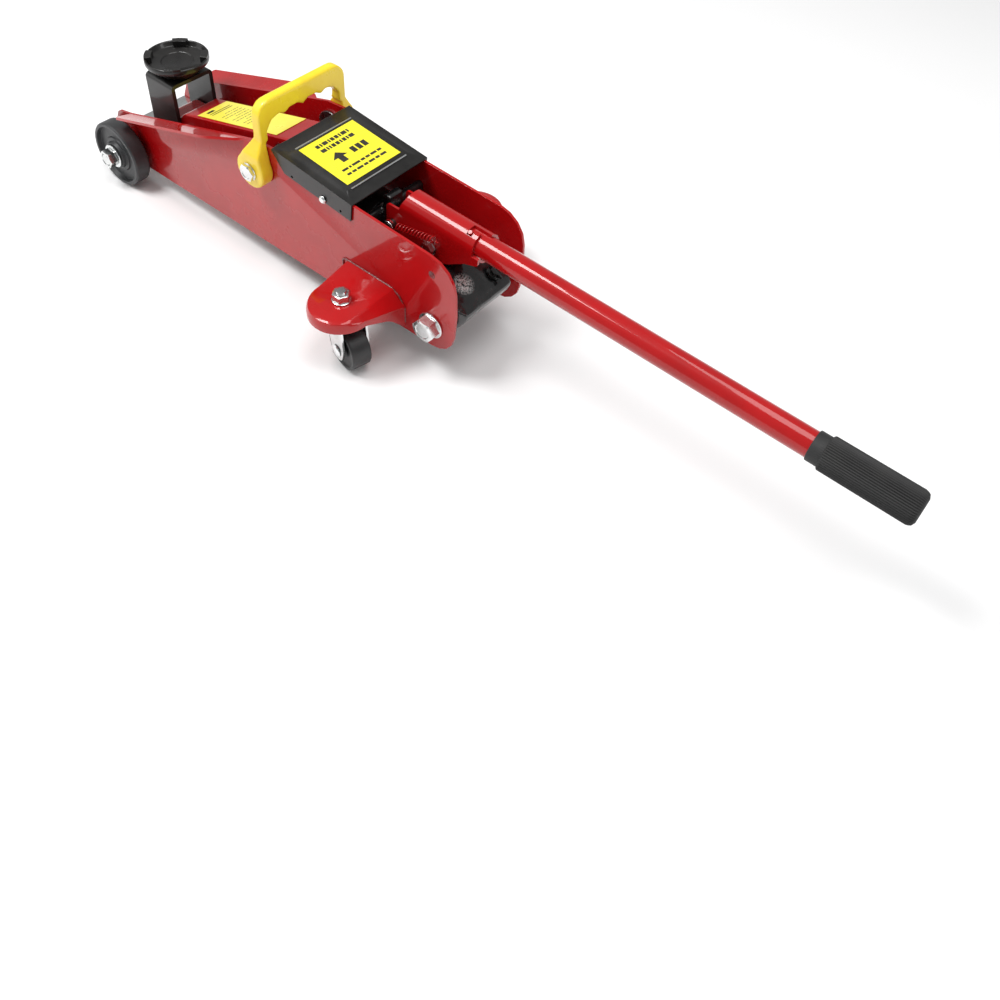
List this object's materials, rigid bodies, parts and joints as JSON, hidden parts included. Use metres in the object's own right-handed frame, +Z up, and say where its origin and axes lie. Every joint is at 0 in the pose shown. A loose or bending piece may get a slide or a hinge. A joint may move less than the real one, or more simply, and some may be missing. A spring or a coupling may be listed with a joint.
{
  "type": "hydraulic floor jack",
  "caption": "Low trolley jack: a hand-pumped hydraulic ram swings a lift arm with a levelled saddle between side plates on wheels and casters.",
  "frame": {"origin": "on the floor, in the middle of the overall length and width", "axes": "+X from the saddle to the pump handle's grip, +Z up, +Y to the right-hand side plate"},
  "size_m": [0.8326, 0.2278, 0.182],
  "materials": {
    "red_paint": "gloss",
    "black_paint": "satin",
    "cast_iron": "painted, rough casting",
    "zinc": "bright zinc plate",
    "dark_steel": "oiled",
    "chrome": "ground and polished",
    "wheel_plastic": "moulded",
    "yellow_plastic": "semi-gloss",
    "rubber": "ribbed, matt",
    "arm_label": "printed film",
    "cover_label": "printed film"
  },
  "bodies": {
    "chassis": {"side_plate_left": "red_paint", "side_plate_right": "red_paint", "caster_wing_left": "red_paint", "caster_wing_right": "red_paint", "carry_bolt_left": "zinc", "carry_bolt_right": "zinc", "cover_screw_left": "zinc", "cover_screw_right": "zinc", "unit_bolt_left": "zinc", "unit_bolt_right": "zinc", "axle_washer_left": "zinc", "axle_washer_right": "zinc", "axle_nut_left": "zinc", "axle_nut_right": "zinc", "link_pin_rear_left": "dark_steel", "link_pin_rear_right": "dark_steel", "caster_bolt_left": "zinc", "caster_bolt_right": "zinc", "front_cross_plate": "zinc", "front_axle": "zinc", "carry_handle": "yellow_plastic", "arm_shaft": "dark_steel", "cover_plate": "black_paint", "cover_label": "cover_label", "power_unit": "cast_iron", "ram_cylinder": "black_paint", "tank_cap": "dark_steel", "filler_plug": "rubber"},
    "wheel_left": {"front_wheel_left": "wheel_plastic"},
    "wheel_right": {"front_wheel_right": "wheel_plastic"},
    "caster_left": {"caster_fork_left": "zinc", "caster_axle_left": "zinc"},
    "caster_right": {"caster_fork_right": "zinc", "caster_axle_right": "zinc"},
    "roller_left": {"caster_wheel_left": "wheel_plastic"},
    "roller_right": {"caster_wheel_right": "wheel_plastic"},
    "arm": {"lift_arm": "red_paint", "arm_label": "arm_label", "crank_pin": "dark_steel"},
    "bracket": {"saddle_bracket": "black_paint", "bracket_pin": "dark_steel", "link_pin_front": "dark_steel", "saddle_stem": "dark_steel"},
    "saddle_cup": {"saddle": "black_paint"},
    "link_left": {"level_link_left": "dark_steel"},
    "link_right": {"level_link_right": "dark_steel"},
    "ram": {"ram_rod": "chrome", "ram_head": "dark_steel"},
    "plunger": {"pump_plunger": "chrome"},
    "yoke_body": {"yoke": "red_paint", "yoke_pin": "dark_steel", "yoke_roller": "zinc", "yoke_bolt_left": "zinc", "yoke_bolt_right": "zinc", "yoke_spring_left": "red_paint", "yoke_spring_right": "red_paint"},
    "handle": {"pump_handle": "red_paint", "bayonet_pin": "red_paint", "handle_grip": "rubber"},
    "valve": {"release_valve": "black_paint"}
  },
  "joints": [
    {"name": "front_wheel_spin_left", "type": "hinge", "parent": "chassis", "child": "wheel_left", "pos_m": [-0.38202, -0.0581, 0.0343], "axis": [0, 1, 0], "continuous": true},
    {"name": "front_wheel_spin_right", "type": "hinge", "parent": "chassis", "child": "wheel_right", "pos_m": [-0.38202, 0.0581, 0.0343], "axis": [0, 1, 0], "continuous": true},
    {"name": "caster_swivel_left", "type": "hinge", "parent": "chassis", "child": "caster_left", "pos_m": [-0.03732, -0.0835, 0.06], "axis": [0, 0, 1], "continuous": true},
    {"name": "caster_swivel_right", "type": "hinge", "parent": "chassis", "child": "caster_right", "pos_m": [-0.03732, 0.0835, 0.06], "axis": [0, 0, 1], "continuous": true},
    {"name": "caster_wheel_spin_left", "type": "hinge", "parent": "caster_left", "child": "roller_left", "pos_m": [-0.02761, -0.08592, 0.021], "axis": [0.2419, 0.9703, 0], "continuous": true},
    {"name": "caster_wheel_spin_right", "type": "hinge", "parent": "caster_right", "child": "roller_right", "pos_m": [-0.02761, 0.08592, 0.021], "axis": [-0.2419, 0.9703, 0], "continuous": true},
    {"name": "arm_lift", "type": "hinge", "parent": "chassis", "child": "arm", "pos_m": [-0.17482, 0, 0.1135], "axis": [0, 1, 0], "range_deg": [0, 64]},
    {"name": "bracket_level", "type": "hinge", "parent": "arm", "child": "bracket", "pos_m": [-0.34832, 0, 0.062], "axis": [0, 1, 0], "range_deg": [-64, 0]},
    {"name": "saddle_turn", "type": "hinge", "parent": "bracket", "child": "saddle_cup", "pos_m": [-0.34462, 0, 0.125], "axis": [0, 0, 1], "continuous": true},
    {"name": "link_swing_left", "type": "hinge", "parent": "chassis", "child": "link_left", "pos_m": [-0.18036, -0.0267, 0.09221], "axis": [0, 1, 0], "range_deg": [0, 64]},
    {"name": "link_swing_right", "type": "hinge", "parent": "chassis", "child": "link_right", "pos_m": [-0.18036, 0.0267, 0.09221], "axis": [0, 1, 0], "range_deg": [0, 64]},
    {"name": "ram_slide", "type": "slide", "parent": "chassis", "child": "ram", "axis": [-1, 0, 0], "range_m": [0, 0.0445]},
    {"name": "handle_pump", "type": "hinge", "parent": "chassis", "child": "yoke_body", "pos_m": [-0.00232, 0, 0.0995], "axis": [0, -1, 0], "range_deg": [0, 55]},
    {"name": "plunger_slide", "type": "slide", "parent": "chassis", "child": "plunger", "axis": [1, 0, 0], "range_m": [0, 0.0125]},
    {"name": "handle_twist", "type": "hinge", "parent": "yoke_body", "child": "handle", "pos_m": [-0.00178, 0, 0.11989], "axis": [-0.9997, 0, 0.0262], "range_deg": [0, 28]},
    {"name": "valve_turn", "type": "hinge", "parent": "chassis", "child": "valve", "pos_m": [0.03968, 0.02, 0.0733], "axis": [0.4867, 0, 0.8736], "range_deg": [0, 180]}
  ],
  "couplings": [
    {"joint": "bracket_level", "follows": "arm_lift", "ratio": -1},
    {"joint": "link_swing_left", "follows": "arm_lift", "ratio": 1},
    {"joint": "link_swing_right", "follows": "arm_lift", "ratio": 1},
    {"joint": "ram_slide", "follows": "arm_lift", "m_per_rad": 0.0395},
    {"joint": "plunger_slide", "follows": "handle_pump", "m_per_rad": 0.013}
  ]
}
